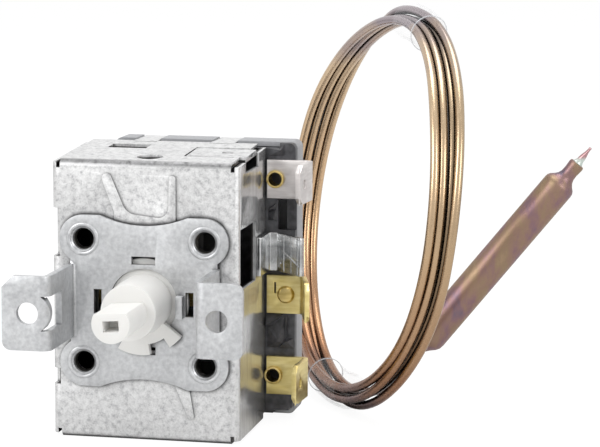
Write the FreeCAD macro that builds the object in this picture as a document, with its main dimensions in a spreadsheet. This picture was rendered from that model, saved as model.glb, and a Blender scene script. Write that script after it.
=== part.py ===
import FreeCAD, Part
import math
import os
from types import SimpleNamespace
from FreeCAD import Placement, Rotation, Vector

# Built-in capillary thermostat.
# X to the right, Y from the front to the back, Z up. The origin is on the spindle's axis, in the
# front face of the mounting plate. All sizes are in millimetres and degrees.

SIZES = [
    ("plate_sheet", 1.0, "mounting plate, sheet thickness"),
    ("plate_top", 13.75, "half height of the plate at its corners"),
    ("plate_waist", 12.3, "half height of the plate at its waist"),
    ("hole_reach", 9.9, "half pitch of the four threaded holes"),
    ("thread_radius", 1.7, "core radius of the M4 threads"),
    ("mouth_radius", 2.25, "mouth of a threaded hole at the front face"),
    ("boss_radius", 3.85, "rounding of the plate round each threaded hole"),
    ("neck_radius", 2.6, "outside radius of an extruded neck"),
    ("neck_length", 1.6, "neck behind the plate"),
    ("opening_radius", 5.5, "spindle opening in the plate"),
    ("slot_long", 3.9, "length of the slots round the opening"),
    ("slot_short", 1.3, "width of the slots round the opening"),
    ("slot_side", 7.5, "centre of the side slots"),
    ("slot_upper", 6.75, "centre of the upper slot"),
    ("slot_lower", 7.65, "centre of the lower slot"),
    ("stop_thickness", 1.05, "stop tab, across"),
    ("stop_height", 3.5, "stop tab, up and down"),
    ("stop_reach", 1.6, "stop tab in front of the plate"),
    ("web_half", 5.85, "half height of the fixing tabs"),
    ("web_left", 11.95, "left web, middle of its sheet"),
    ("web_right", 11.95, "right web, middle of its sheet"),
    ("tab_front", 13.0, "fixing tab's front face, before the plate"),
    ("tab_end", 19.1, "outer end of the fixing tabs"),
    ("tab_round", 1.4, "rounded corners of the fixing tabs"),
    ("tab_chamfer", 1.3, "cut upper corner of the left tab"),
    ("relief_half", 2.7, "half height of the relief in the left web"),
    ("relief_rear", 6.4, "rear end of the relief, before the plate"),
    ("relief_radius", 3.45, "edge left round the left fixing hole"),
    ("tab_hole_reach", 15.0, "half pitch of the fixing holes"),
    ("tab_hole_radius", 1.75, "fixing hole"),
    ("bend_inside", 0.5, "inside radius of the folds"),
    ("wall_sheet", 0.8, "housing, sheet thickness"),
    ("box_half", 15.3, "half width of the housing"),
    ("box_top", 22.45, "top of the housing above the axis, at its front fold"),
    ("box_rise", 1.05, "rise of the top from the front fold to the rear edge"),
    ("box_bottom", 22.5, "bottom of the housing below the axis"),
    ("box_depth", 20.2, "rear edge of the housing"),
    ("box_fold", 1.2, "outside radius of the housing's folds"),
    ("corner_slot", 0.6, "relief slot beside each side wall"),
    ("corner_step", 0.6, "side walls end below the flanges"),
    ("wall_opening", 7.9, "round opening in the front wall"),
    ("window_front", 1.9, "window in the right wall, front end"),
    ("window_rear", 12.6, "window in the right wall, rear end"),
    ("window_low", 2.2, "window in the right wall, lower edge"),
    ("window_high", 11.9, "window in the right wall, upper edge"),
    ("notch_front", 5.5, "notch in the right wall's upper edge, front end"),
    ("notch_rear", 14.9, "notch in the right wall's upper edge, rear end"),
    ("notch_low", 20.4, "notch in the right wall's upper edge, bottom"),
    ("tongue_left", 4.9, "tongue lanced in the top, left end"),
    ("tongue_front", 7.1, "tongue lanced in the top, front edge"),
    ("tongue_rear", 14.3, "tongue lanced in the top, rear edge"),
    ("bead_height", 0.35, "raised bead on the front wall"),
    ("lug_width", 4.0, "folded lug that holds the base"),
    ("lug_turn", 2.6, "folded end of a lug"),
    ("play", 0.1, "clearance of parts that only meet"),
    ("running", 0.05, "radial clearance of moving parts"),
    ("collar_radius", 4.6, "spindle collar at its root"),
    ("collar_nose", 4.4, "spindle collar at its nose"),
    ("collar_straight", 3.4, "straight part of the collar"),
    ("collar_length", 9.05, "collar before the plate"),
    ("shaft_radius", 3.0, "spindle shaft"),
    ("shaft_flat", 1.6, "flat of the shaft above the axis"),
    ("shaft_length", 18.8, "spindle tip before the plate"),
    ("shaft_tilt", 4.0, "turn of the spindle's flat"),
    ("socket_half", 1.25, "half width of the hole in the tip"),
    ("socket_high", 0.85, "half height of the hole in the tip"),
    ("socket_depth", 4.0, "hole in the tip"),
    ("lug_radius", 8.1, "stop lugs of the spindle"),
    ("lug_web", 6.4, "web between the stop lugs"),
    ("lug_thick", 1.3, "stop lugs along the axis"),
    ("flange_radius", 7.0, "spindle flange behind the plate"),
    ("flange_thick", 1.0, "spindle flange along the axis"),
    ("hub_radius", 3.4, "spindle hub round the screw"),
    ("hub_end", 4.2, "rear end of the hub"),
    ("screw_radius", 2.0, "adjusting screw"),
    ("screw_end", 9.4, "rear end of the adjusting screw"),
    ("nut_radius", 4.6, "spring nut"),
    ("nut_share", 0.267327, "front face of the spring nut, share of the box depth"),
    ("nut_thick", 2.0, "spring nut along the axis"),
    ("arm_inside", 8.2, "inner face of the bracket's arms"),
    ("arm_low", 3.6, "bracket arms below the axis"),
    ("arm_share", 0.712871, "rear edge of the bracket's arms, share of the box depth"),
    ("pin_radius", 1.0, "lever pin"),
    ("pin_share", 0.623762, "lever pin behind the plate, share of the box depth"),
    ("pin_high", 9.5, "lever pin above the axis"),
    ("lever_sheet", 1.0, "lever, sheet thickness"),
    ("lever_half", 5.5, "half width of the lever"),
    ("lever_low", 17.0, "lower end of the lever"),
    ("wire_radius", 0.45, "spring wire"),
    ("coil_mean", 3.2, "mean radius of the range spring"),
    ("wire_pitch", 1.217, "pitch of the range spring"),
    ("capsule_radius", 9.5, "pressure capsule"),
    ("capsule_half", 0.9, "half thickness of the capsule"),
    ("button_radius", 2.0, "centre button of the capsule"),
    ("button_long", 1.9, "centre button along the axis"),
    ("tip_radius", 0.4, "domed tips of the push button and of the switch button"),
    ("tip_long", 0.4, "the same tips along the axis"),
    ("tip_play", 0.02, "gap between a tip and what it pushes on"),
    ("seat_sheet", 1.0, "capsule seat, sheet thickness"),
    ("switch_right", 7.0, "switch pin right of the axis"),
    ("switch_low", 12.0, "switch pin below the axis"),
    ("switch_radius", 1.2, "switch pin"),
    ("base_left", 9.8, "base, left of the axis"),
    ("base_right", 4.9, "base beyond the right wall"),
    ("base_top", 22.8, "base above the axis"),
    ("base_low", 21.3, "base below the axis"),
    ("base_front", 1.0, "front wall of the base"),
    ("base_lip", 1.7, "front lip of the base"),
    ("base_depth", 5.9, "base along Y"),
    ("cover_top", 23.7, "cover above the axis"),
    ("cover_low", 21.65, "cover below the axis"),
    ("cover_left", 10.7, "cover left of the axis"),
    ("cover_right", 4.75, "cover beyond the right wall"),
    ("cover_back", 6.8, "rear face of the cover, behind the housing's rear edge"),
    ("terminal_wide", 6.3, "terminals, width"),
    ("terminal_sheet", 0.8, "terminals, sheet thickness"),
    ("blade_long", 8.2, "terminal blade before the base"),
    ("upper_level", 17.85, "upper terminal"),
    ("middle_level", -1.2, "middle terminal"),
    ("lower_level", -14.75, "lower terminal"),
    ("upper_eyelet", 1.72, "upper eyelet beyond the right wall"),
    ("upper_corner", 7.65, "upper terminal's fold beyond the right wall"),
    ("upper_tip", 7.1, "upper blade's tip beyond the right wall"),
    ("middle_rivet", 3.55, "middle rivet beyond the right wall"),
    ("middle_corner", 6.45, "middle terminal's fold beyond the right wall"),
    ("middle_tip", 8.7, "middle blade's tip beyond the right wall"),
    ("lower_eyelet", 1.45, "lower eyelet beyond the right wall"),
    ("lower_corner", 7.05, "lower terminal's fold beyond the right wall"),
    ("lower_tip", 6.6, "lower blade's tip beyond the right wall"),
    ("eyelet_radius", 1.45, "rolled edge of an eyelet"),
    ("eyelet_bore", 1.1, "bore of an eyelet"),
    ("earth_level", 5.9, "earth tab"),
    ("strip_thin", 0.4, "inner contact strips"),
    ("blade_gap", 1.8, "contact blade behind the base's front wall"),
    ("blade_thin", 0.3, "contact blade"),
    ("blade_root", 8.5, "upper end of the moving blade"),
    ("contact_level", -16.0, "contacts"),
    ("contact_radius", 1.2, "contacts"),
    ("tube_radius", 0.75, "capillary tube"),
    ("coil_right", 30.33, "middle of the capillary coil, X"),
    ("coil_rear", 36.6, "middle of the capillary coil, Y"),
    ("coil_radius", 31.6, "mean radius of the coil"),
    ("coil_section", 2.9, "half thickness of the coil's bundle"),
    ("coil_yaw", 33.0, "direction of the coil's axis in plan"),
    ("coil_lean", 10.5, "tilt of the coil's axis below level"),
    ("band_thick", 0.25, "film band"),
    ("bulb_radius", 2.65, "sensor bulb"),
    ("bulb_length", 35.4, "sensor bulb, base to shoulder"),
    ("neck_tip", 1.3, "bulb neck"),
    ("neck_long", 4.4, "bulb neck, length"),
    ("tail_long", 4.4, "pinched fill tail"),
]

doc = FreeCAD.newDocument("built_in_thermostat")
sheet = doc.addObject("Spreadsheet::Sheet", "Sizes")
for row, (name, number, meaning) in enumerate(SIZES, start=1):
    sheet.set(f"A{row}", meaning)
    sheet.set(f"B{row}", str(number))
    sheet.setAlias(f"B{row}", name)
doc.recompute()


class Size:
    """A number together with the sheet expression that gives it."""

    def __init__(self, number, text):
        self.number = number
        self.text = text

    def __add__(self, other):
        other = as_size(other)
        return Size(self.number + other.number, f"({self.text} + {other.text})")

    def __sub__(self, other):
        other = as_size(other)
        return Size(self.number - other.number, f"({self.text} - {other.text})")

    def __mul__(self, other):
        other = as_size(other)
        return Size(self.number * other.number, f"({self.text} * {other.text})")

    def __truediv__(self, other):
        other = as_size(other)
        return Size(self.number / other.number, f"({self.text} / {other.text})")

    def __neg__(self):
        return Size(-self.number, f"(0 - {self.text})")

    def __radd__(self, other):
        return as_size(other) + self

    def __rsub__(self, other):
        return as_size(other) - self

    def __rmul__(self, other):
        return as_size(other) * self


def as_size(value):
    return value if isinstance(value, Size) else Size(float(value), f"{float(value):.6f}")


def cosine(angle):
    return Size(math.cos(math.radians(angle.number)), f"cos({angle.text} * 1deg)")


s = SimpleNamespace(**{
    name: Size(float(sheet.get(name)), f"Sizes.{name}") for name, number, meaning in SIZES
})


def bind(obj, **links):
    """Set each property of obj from a size and tie it to the sheet."""
    for name, value in links.items():
        obj.setExpression(name.replace("_", "."), as_size(value).text)
    return obj


def at(obj, x, y, z, turn=None):
    x, y, z = as_size(x), as_size(y), as_size(z)
    obj.Placement = Placement(Vector(x.number, y.number, z.number), turn or Rotation())
    return bind(obj, Placement_Base_x=x, Placement_Base_y=y, Placement_Base_z=z)


def block(name, x, y, z):
    """A box between two limits along each axis."""
    obj = doc.addObject("Part::Box", name)
    bind(obj, Length=as_size(x[1]) - x[0], Width=as_size(y[1]) - y[0], Height=as_size(z[1]) - z[0])
    return at(obj, x[0], y[0], z[0])


TURNS = {
    "x": Rotation(Vector(0, 1, 0), 90),
    "y": Rotation(Vector(1, 0, 0), -90),
    "z": Rotation(),
}


def rod(name, radius, span, centre, along="y", end_radius=None):
    """A cylinder, or a cone where end_radius is given, along one axis through centre."""
    obj = doc.addObject("Part::Cylinder" if end_radius is None else "Part::Cone", name)
    if end_radius is None:
        bind(obj, Radius=radius)
    else:
        bind(obj, Radius1=radius, Radius2=end_radius)
    bind(obj, Height=as_size(span[1]) - span[0])
    place = {
        "x": (span[0], centre[0], centre[1]),
        "y": (centre[0], span[0], centre[1]),
        "z": (centre[0], centre[1], span[0]),
    }[along]
    return at(obj, *place, TURNS[along])


def sector(name, radius, span, start, sweep):
    """A slice of a disc round the spindle's axis, its angles clockwise from +X seen from the front."""
    obj = rod(name, radius, span, (0, 0))
    turn = TURNS["y"] * Rotation(Vector(0, 0, 1), start)
    obj.Angle = sweep
    return at(obj, 0, span[0], 0, turn)


def fuse(name, *shapes):
    obj = doc.addObject("Part::MultiFuse", name)
    obj.Shapes = list(shapes)
    obj.Refine = True
    return obj


def cut(name, base, *tools):
    obj = doc.addObject("Part::Cut", name)
    obj.Base = base
    obj.Tool = tools[0] if len(tools) == 1 else fuse(name + "_tools", *tools)
    obj.Refine = True
    return obj


def round_edges(name, base, radius, wanted):
    """Round the edges of base whose middle satisfies the test wanted."""
    doc.recompute()
    obj = doc.addObject("Part::Fillet", name)
    obj.Base = base
    edges = []
    for number, edge in enumerate(base.Shape.Edges, start=1):
        if wanted(edge.CenterOfMass, edge):
            edges.append((number, radius.number, radius.number))
    obj.Edges = edges
    return obj


nodes = []


def node(label, obj):
    """Name a finished sub-part."""
    obj.Label = label
    nodes.append(obj)
    return obj


def rounded(points, radii, closed=False):
    """Straight runs between the points, joined by tangent arcs of the given radii."""
    count = len(points)
    corners = range(count) if closed else range(1, count - 1)
    starts, ends, arcs = {}, {}, {}
    for i in range(count):
        starts[i] = ends[i] = points[i]
    for i in corners:
        corner = points[i]
        back = (points[i - 1] - corner).normalize()
        ahead = (points[(i + 1) % count] - corner).normalize()
        half = back.getAngle(ahead) / 2
        if radii[i] <= 0 or half > math.pi / 2 - 1e-4:
            continue
        run = radii[i] / math.tan(half)
        middle = (back + ahead).normalize()
        ends[i] = corner + back * run
        starts[i] = corner + ahead * run
        arcs[i] = corner + middle * (radii[i] / math.sin(half) - radii[i])
    edges = []
    for i in range(count if closed else count - 1):
        following = (i + 1) % count
        edges.append(Part.LineSegment(starts[i], ends[following]))
        if following in arcs:
            edges.append(Part.Arc(ends[following], arcs[following], starts[following]))
    return edges


def padded(name, geometry, low, height):
    """A closed outline in the XY plane, padded upwards."""
    body = doc.addObject("PartDesign::Body", name)
    sketch = body.newObject("Sketcher::SketchObject", name + "_outline")
    plane = [f for f in body.Origin.OriginFeatures if f.Role == "XY_Plane"][0]
    sketch.AttachmentSupport = [(plane, "")]
    sketch.MapMode = "FlatFace"
    bind(sketch, AttachmentOffset_Base_z=low)
    sketch.addGeometry(geometry, False)
    pad = body.newObject("PartDesign::Pad", name + "_pad")
    pad.Profile = sketch
    bind(pad, Length=height)
    body.Tip = pad
    return body


def strip(name, route, thickness, fold, low, height):
    """Sheet folded along a route in the XY plane: route is its middle line with sharp corners."""
    middle = [Vector(as_size(x).number, as_size(y).number, 0) for x, y in route]
    half, inside = thickness.number / 2, fold.number
    sides = {1: [], -1: []}
    radii = {1: [], -1: []}
    for i, point in enumerate(middle):
        before = (point - middle[i - 1]).normalize() if i else None
        after = (middle[i + 1] - point).normalize() if i + 1 < len(middle) else None
        heading = (before or after) + (after or before)
        heading.normalize()
        normal = Vector(-heading.y, heading.x, 0)
        stretch = 1.0 if before is None or after is None else 1.0 / heading.dot(after)
        bend = 0.0 if before is None or after is None else before.cross(after).z
        for side in (1, -1):
            sides[side].append(point + normal * (half * stretch * side))
            if abs(bend) < 1e-6:
                radii[side].append(0.0)
            else:
                radii[side].append(inside if bend * side > 0 else inside + 2 * half)
    outline = sides[1] + sides[-1][::-1]
    corner_radii = radii[1] + radii[-1][::-1]
    return padded(name, rounded(outline, corner_radii, closed=True), low, height)


def turned(name, profile):
    """A body of revolution round its own Z axis from radius and height pairs."""
    body = doc.addObject("PartDesign::Body", name)
    sketch = body.newObject("Sketcher::SketchObject", name + "_profile")
    plane = [f for f in body.Origin.OriginFeatures if f.Role == "XZ_Plane"][0]
    sketch.AttachmentSupport = [(plane, "")]
    sketch.MapMode = "FlatFace"
    points = [Vector(as_size(r).number, as_size(h).number, 0) for r, h in profile]
    for i, point in enumerate(points):
        sketch.addGeometry(Part.LineSegment(point, points[(i + 1) % len(points)]), False)
    spin = body.newObject("PartDesign::Revolution", name + "_spin")
    spin.Profile = sketch
    spin.ReferenceAxis = (sketch, ["V_Axis"])
    spin.Angle = 360
    body.Tip = spin
    return body


# Mounting plate: one stamping. Its corners are rounded about the threaded holes, the top and
# bottom edges dip to a waist between them, and two webs carry the fixing tabs forward.
plate_depth = (0, s.plate_sheet)
corners = [(x, z) for x in (-1, 1) for z in (-1, 1)]
bosses = [
    rod(f"boss_{i}", s.boss_radius, plate_depth, (s.hole_reach * x, s.hole_reach * z))
    for i, (x, z) in enumerate(corners)
]
upright = block("plate_upright", (-s.hole_reach, s.hole_reach), plate_depth, (-s.plate_top, s.plate_top))
level = block("plate_level", (-s.web_left, s.web_right), plate_depth, (-s.hole_reach, s.hole_reach))
waist_dip = s.plate_top - s.plate_waist
waist_half = s.hole_reach * 0.72
waist_radius = (waist_half * waist_half + waist_dip * waist_dip) / (2 * waist_dip)
waists = [
    rod(f"waist_{i}", waist_radius, (-1, s.plate_sheet + 1), (0, (s.plate_waist + waist_radius) * z))
    for i, z in enumerate((-1, 1))
]
necks = [
    rod(f"neck_{i}", s.neck_radius, (0, s.plate_sheet + s.neck_length),
        (s.hole_reach * x, s.hole_reach * z))
    for i, (x, z) in enumerate(corners)
]
tab_middle = s.plate_sheet / 2 - s.tab_front
webs = []
for name, side, reach in (("left", -1, s.web_left), ("right", 1, s.web_right)):
    route = [
        (reach * side - side * 3, s.plate_sheet / 2),
        (reach * side, s.plate_sheet / 2),
        (reach * side, tab_middle),
        (s.tab_end * side, tab_middle),
    ]
    web = strip(f"web_{name}", route, s.plate_sheet, s.bend_inside, -s.web_half, s.web_half * 2)
    webs.append(round_edges(
        f"web_{name}_round", web, s.tab_round,
        lambda c, e, side=side: abs(c.x - s.tab_end.number * side) < 0.01
        and abs(abs(c.z) - s.web_half.number) < 0.01 and (side > 0 or c.z < 0),
    ))
tab_depth = (-s.tab_front - 1, -s.tab_front + s.plate_sheet + 1)
tab_corner = doc.addObject("Part::Box", "tab_corner")
bind(tab_corner, Length=s.tab_chamfer * 2, Width=tab_depth[1] - tab_depth[0], Height=s.tab_chamfer * 2)
at(tab_corner, -s.tab_end, tab_depth[0], s.web_half - s.tab_chamfer * math.sqrt(2),
   Rotation(Vector(0, 1, 0), -135) * Rotation(Vector(0, 1, 0), 90))
relief_edge = rod("relief_edge", s.relief_radius, tab_depth, (-s.tab_hole_reach, 0))
web_relief = cut(
    "web_relief",
    block("web_relief_block", (-s.web_left - s.plate_sheet * 1.5, -s.web_left + s.plate_sheet),
          (-s.tab_front - 1, -s.relief_rear), (-s.relief_half, s.relief_half)),
    relief_edge,
)
stop_left = s.opening_radius + s.play
stop = block(
    "stop_tab", (stop_left, stop_left + s.stop_thickness), (-s.stop_reach, 0),
    (-s.stop_height / 2 - 0.3, s.stop_height / 2 - 0.3),
)
flat_plate = cut("plate_flat", fuse("plate_sheet_body", upright, level, *bosses), *waists)
square_ends = fuse("plate_body", flat_plate, stop, *necks, *webs)
threads = [
    rod(f"thread_{i}", s.thread_radius, (-1, s.plate_sheet + s.neck_length + 1),
        (s.hole_reach * x, s.hole_reach * z))
    for i, (x, z) in enumerate(corners)
]
mouths = [
    rod(f"mouth_{i}", s.mouth_radius, (0, s.mouth_radius - s.thread_radius),
        (s.hole_reach * x, s.hole_reach * z), end_radius=s.thread_radius)
    for i, (x, z) in enumerate(corners)
]
fixings = [
    rod(f"fixing_{i}", s.tab_hole_radius, tab_depth, (s.tab_hole_reach * x, 0))
    for i, x in enumerate((-1, 1))
]
opening = rod("plate_opening", s.opening_radius, (0, s.plate_sheet + 1), (0, 0))
long_half, short_half = s.slot_long / 2, s.slot_short / 2
slots = [
    block("slot_right", (s.slot_side - short_half, s.slot_side + short_half), (-0.01, 2),
          (-long_half, long_half)),
    block("slot_left", (-s.slot_side - short_half, -s.slot_side + short_half), (-0.01, 2),
          (-long_half, long_half)),
    block("slot_top", (-long_half, long_half), (-0.01, 2),
          (s.slot_upper - short_half, s.slot_upper + short_half)),
    block("slot_bottom", (-long_half, long_half), (-0.01, 2),
          (-s.slot_lower - short_half, -s.slot_lower + short_half)),
]
node("mounting_plate", cut(
    "plate", square_ends, opening, tab_corner, web_relief, *threads, *mouths, *fixings, *slots,
))

# Housing: one folded box, open at the back. Relief slots part the flanges from the side walls at
# all four front corners, and four lugs pass the base and are folded over the cover.
box_front = s.plate_sheet
inner_front = box_front + s.wall_sheet
slope = s.box_rise / (s.box_depth - box_front)


def top_at(depth):
    """Level of the housing's top at a depth behind the plate's front face."""
    return s.box_top + slope * (as_size(depth) - box_front)


def rising(name, x, y, front, rear):
    """A block whose lower and upper limits change from its front to its rear face."""
    obj = doc.addObject("Part::Wedge", name)
    bind(obj, Xmin=x[0], Xmax=x[1], X2min=x[0], X2max=x[1], Ymin=y[0], Ymax=y[1])
    return bind(obj, Zmin=front[0], Zmax=front[1], Z2min=rear[0], Z2max=rear[1])


rear_top = s.box_top + s.box_rise
beyond = s.box_depth + 5
outer = round_edges(
    "box_outer_round",
    rising("box_outer", (-s.box_half, s.box_half), (box_front, s.box_depth),
           (-s.box_bottom, s.box_top), (-s.box_bottom, rear_top)),
    s.box_fold, lambda c, e: abs(c.y - box_front.number) < 0.01,
)
inner_half = s.box_half - s.wall_sheet
inner_low = -s.box_bottom + s.wall_sheet
inner = round_edges(
    "box_inner_round",
    rising("box_inner", (-inner_half, inner_half), (inner_front, beyond),
           (inner_low, top_at(inner_front) - s.wall_sheet), (inner_low, top_at(beyond) - s.wall_sheet)),
    s.box_fold - s.wall_sheet, lambda c, e: abs(c.y - inner_front.number) < 0.01,
)
flange_half = inner_half - s.corner_slot
reliefs = []
for i, (x, z) in enumerate(corners):
    column = [flange_half * x, (s.box_half + 1) * x]
    slot = [flange_half * x, inner_half * x]
    if x < 0:
        column.reverse()
        slot.reverse()
    for kind, across, step in (
        ("corner", column, s.corner_step), ("relief", slot, s.wall_sheet + s.corner_slot),
    ):
        if z > 0:
            front = (top_at(0) - step, top_at(0) + 1)
            rear = (top_at(beyond) - step, top_at(beyond) + 1)
        else:
            front = rear = (-s.box_bottom - 1, -s.box_bottom + step)
        reliefs.append(rising(f"{kind}_{i}", across, (0, beyond), front, rear))
wall_side = (inner_half - 0.5, s.box_half + 1)
window = block("window", wall_side, (s.window_front, s.window_rear), (s.window_low, s.window_high))
notch = block("wall_notch", wall_side, (s.notch_front, s.notch_rear), (s.notch_low, rear_top + 1))
rear_corner = block("wall_corner", wall_side, (s.box_depth - 1.6, s.box_depth + 1),
                    (-s.box_bottom - 1, -s.box_bottom + 1.4))
left_side = (-s.box_half - 1, -inner_half + 0.5)
left_cuts = [
    block("left_cut_upper", left_side, (0.5, 4.2), (6.8, 14.6)),
    block("left_cut_lower", left_side, (0.5, 3.4), (-13.9, -11.3)),
]
# The top has a slot, a round hole and a tongue with a small hole, which hangs on by its front corner.
top_cut = (s.box_top - s.wall_sheet - 1, rear_top + 1)
top_cuts = [
    block("top_slot", (-9.4, -3.0), (12.8, 16.4), top_cut),
    rod("top_hole", 2.1, top_cut, (-0.25, 5.2), along="z"),
    block("tongue_cut_front", (s.tongue_left, flange_half - 0.9), (s.tongue_front - 0.5, s.tongue_front),
          top_cut),
    block("tongue_cut_rear", (s.tongue_left, flange_half + 1), (s.tongue_rear, s.tongue_rear + 1.1),
          top_cut),
    block("tongue_cut_left", (s.tongue_left, s.tongue_left + 0.3), (s.tongue_front, s.tongue_rear),
          top_cut),
    block("tongue_hole", (10.2, 12.0), (10.4, 11.2), top_cut),
]
tongue_end = rising(
    "tongue_end", (flange_half - 1, s.box_half - 0.3), (s.tongue_front, s.tongue_rear),
    (top_at(s.tongue_front) - s.wall_sheet, top_at(s.tongue_front)),
    (top_at(s.tongue_rear) - s.wall_sheet, top_at(s.tongue_rear)),
)
wall_hole = rod("wall_hole", s.wall_opening, (0, inner_front + 1), (0, 0))
neck_holes = [
    rod(f"neck_hole_{i}", s.neck_radius + s.play, (0, inner_front + 1),
        (s.hole_reach * x, s.hole_reach * z))
    for i, (x, z) in enumerate(corners)
]
stop_hole = [
    block(f"slot_relief_{i}", (side * 8.2 - 1.2, side * 8.2 + 1.2), (0, inner_front + 0.4), (-2.3, 2.3))
    for i, side in enumerate((-1, 1))
]


def bead(name, points, radii):
    """A raised bead on the front wall, from its outline in X and Z."""
    geometry = rounded([Vector(x, -z, 0) for x, z in points], radii, closed=True)
    return padded(name, geometry, box_front - s.bead_height, s.bead_height + 0.05)


# Two prongs joined by a U above the plate, and one tapered bead below it.
upper_outline = [
    (-7.3, 20.4), (-5.6, 20.4), (-2.9, 14.1), (3.9, 13.4), (4.0, 20.3), (5.1, 20.3), (5.1, 11.5), (-4.9,
            11.5),
    (-4.9, 14.2),
]
upper_radii = [0.8, 0.8, 2.4, 1.7, 0.5, 0.5, 0, 0, 2.0]
lower_outline = [(4.2, -11.5), (6.9, -11.5), (8.1, -18.4), (7.2, -18.6)]
lower_radii = [0, 0, 0.4, 0.4]
beads = []
for name, outline, outline_radii in (
    ("bead_upper", upper_outline, upper_radii),
    ("bead_lower", lower_outline, lower_radii),
):
    raised = bead(name, outline, outline_radii)
    raised.Placement = Placement(Vector(0, 0, 0), TURNS["y"])
    beads.append(cut(f"{name}_trimmed", raised, flat_plate))
cover_rear = s.box_depth + s.cover_back
lug_end = cover_rear + s.wall_sheet
lugs = []
for i, x in enumerate((-5.0, 8.0)):
    across = (x - s.lug_width / 2, x + s.lug_width / 2)
    top = (rear_top - s.wall_sheet, rear_top)
    low = (-s.box_bottom, -s.box_bottom + s.wall_sheet)
    lugs.append(block(f"lug_top_{i}", across, (s.box_depth - 1, lug_end), top))
    lugs.append(block(f"lug_top_turn_{i}", across, (cover_rear, lug_end), (top[0] - s.lug_turn, rear_top)))
    lugs.append(block(f"lug_low_{i}", across, (s.box_depth - 1, lug_end), low))
    lugs.append(block(f"lug_low_turn_{i}", across, (cover_rear, lug_end),
                      (-s.box_bottom, low[1] + s.lug_turn)))
rear_return = block(
    "rear_return", (-s.box_half + s.wall_sheet / 2, -s.cover_left - s.play),
    (s.box_depth - s.wall_sheet, s.box_depth), (-s.box_bottom + s.corner_step * 3,
                                                s.box_top - s.corner_step * 3),
)
shell = fuse("box_shell", cut("box_hollow", outer, inner), rear_return, *lugs)
node("housing", fuse(
    "housing_body",
    cut("box_cut", shell, wall_hole, window, notch, rear_corner, *left_cuts, *top_cuts, *neck_holes,
        *stop_hole, *reliefs),
    tongue_end, *beads,
))

# Spindle: one white moulding. Stop lugs in front of the plate, a flange behind it, a tapered
# collar, and a shaft with a flat and a blind hole in its tip.
lug_span = (-s.play - s.lug_thick, -s.play)
spindle_solid = fuse(
    "spindle_solid",
    rod("spindle_collar", s.collar_radius, (-s.collar_straight, 0), (0, 0)),
    rod("spindle_taper", s.collar_nose, (-s.collar_length, -s.collar_straight), (0, 0),
        end_radius=s.collar_radius),
    rod("spindle_journal", s.opening_radius - s.running, (s.plate_sheet * 0.5, s.plate_sheet + s.play), (0, 0)),
    rod("spindle_waist", s.collar_radius, (0, s.plate_sheet), (0, 0)),
    rod("spindle_flange", s.flange_radius,
        (s.plate_sheet + s.play, s.plate_sheet + s.play + s.flange_thick), (0, 0)),
    rod("spindle_hub", s.hub_radius, (0, s.hub_end), (0, 0)),
    sector("spindle_lug_small", s.lug_radius, lug_span, 42, 17),
    sector("spindle_lug_wide", s.lug_radius, lug_span, 84, 38),
    sector("spindle_lug_web", s.lug_web, lug_span, 42, 80),
    cut("spindle_shaft_flat", rod("spindle_shaft", s.shaft_radius, (-s.shaft_length, 0), (0, 0)),
        block("spindle_flat", (-4, 4), (-s.shaft_length - 1, -s.collar_length), (s.shaft_flat, 4))),
)
spindle_socket = block(
    "spindle_socket", (-s.socket_half, s.socket_half), (-s.shaft_length - 1,
                                                        -s.shaft_length + s.socket_depth),
    (-s.socket_high - 0.35, s.socket_high - 0.35),
)
screw_bore = rod("spindle_bore", s.screw_radius, (-2, s.hub_end + 1), (0, 0))
spindle = node("spindle", cut("spindle_body", spindle_solid, spindle_socket, screw_bore))
spindle.Placement = Placement(Vector(0, 0, 0), Rotation(Vector(0, 1, 0), -s.shaft_tilt.number))

# Adjusting screw, pressed into the spindle, and the nut that it drives against the spring.
nut_front = s.box_depth * s.nut_share
arm_rear = s.box_depth * s.arm_share
pin_rear = s.box_depth * s.pin_share
node("adjusting_screw", rod("screw", s.screw_radius, (-2, s.screw_end), (0, 0)))
nut_rear = nut_front + s.nut_thick
arm_outside = s.arm_inside + s.wall_sheet
nut_solid = fuse(
    "nut_solid",
    rod("nut_disc", s.nut_radius, (nut_front, nut_rear), (0, 0)),
    block("nut_ears", (-arm_outside - 0.4, arm_outside + 0.4), (nut_front, nut_rear), (-1.2, 1.2)),
)
node("spring_nut",
     cut("nut", nut_solid,
         rod("nut_bore", s.screw_radius + s.running, (nut_front - 1, nut_rear + 1), (0, 0))))

# Bracket: a channel riveted behind the front wall. Its arms guide the nut and carry the lever pin.
bracket_base = (inner_front, inner_front + s.wall_sheet)
arm_step = s.plate_sheet + s.neck_length + 0.4
arm_high = s.pin_high + 2.2
arms = []
for i, side in enumerate((-1, 1)):
    across = (s.arm_inside, arm_outside) if side > 0 else (-arm_outside, -s.arm_inside)
    arms.append(block(f"arm_lower_{i}", across, (inner_front, arm_rear), (-s.arm_low, 6.4)))
    arms.append(block(f"arm_upper_{i}", across, (arm_step, arm_rear), (6.0, arm_high)))
bracket_solid = fuse(
    "bracket_solid", block("bracket_plate", (-arm_outside, arm_outside), bracket_base, (-6.4, 6.4)),
    block("bracket_bridge", (-s.neck_radius * 2.6, s.neck_radius * 2.6), bracket_base, (-9.6, 9.6)), *arms,
)
guide = block(
    "nut_guide", (-arm_outside - 1, arm_outside + 1), (nut_front - 1.2, nut_rear + 1.2),
    (-1.2 - s.play, 1.2 + s.play),
)
node("bracket", cut(
    "bracket_body", bracket_solid, guide,
    rod("bracket_hole", s.wall_opening, (inner_front - 1, bracket_base[1] + 1), (0, 0)),
    rod("pin_holes", s.pin_radius, (-arm_outside - 1, arm_outside + 1), (pin_rear, s.pin_high), along="x"),
))
node("lever_pin",
     rod("pin", s.pin_radius, (-arm_outside - 0.5, arm_outside + 0.5), (pin_rear, s.pin_high), along="x"))

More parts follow.
